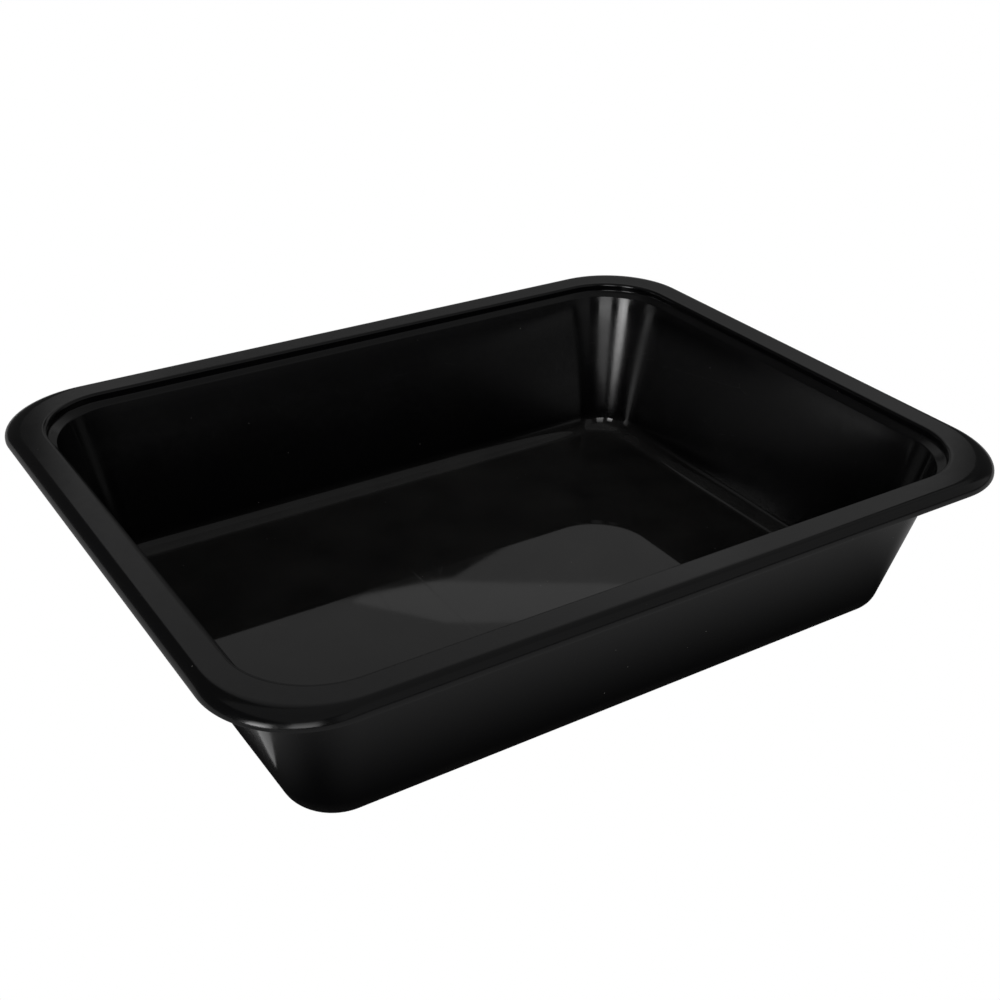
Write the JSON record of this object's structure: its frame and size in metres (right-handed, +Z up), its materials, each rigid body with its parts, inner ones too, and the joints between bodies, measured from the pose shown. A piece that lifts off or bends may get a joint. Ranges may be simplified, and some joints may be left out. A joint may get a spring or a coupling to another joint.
{
  "type": "paint roller tray",
  "caption": "Deep rectangular one-piece moulded plastic tray with a flat floor, sloping walls, rounded corners and a flat rim that rolls over into a short skirt.",
  "frame": {"origin": "centre of the base's rectangle, on the ground the tray stands on", "axes": "+Z up, +X along the long side, +Y across the tray"},
  "size_m": [0.42, 0.331, 0.0906],
  "materials": {
    "black_plastic": "polished inside, fine satin rim and outside"
  },
  "bodies": {
    "root": {"tray": "black_plastic"}
  },
  "joints": []
}
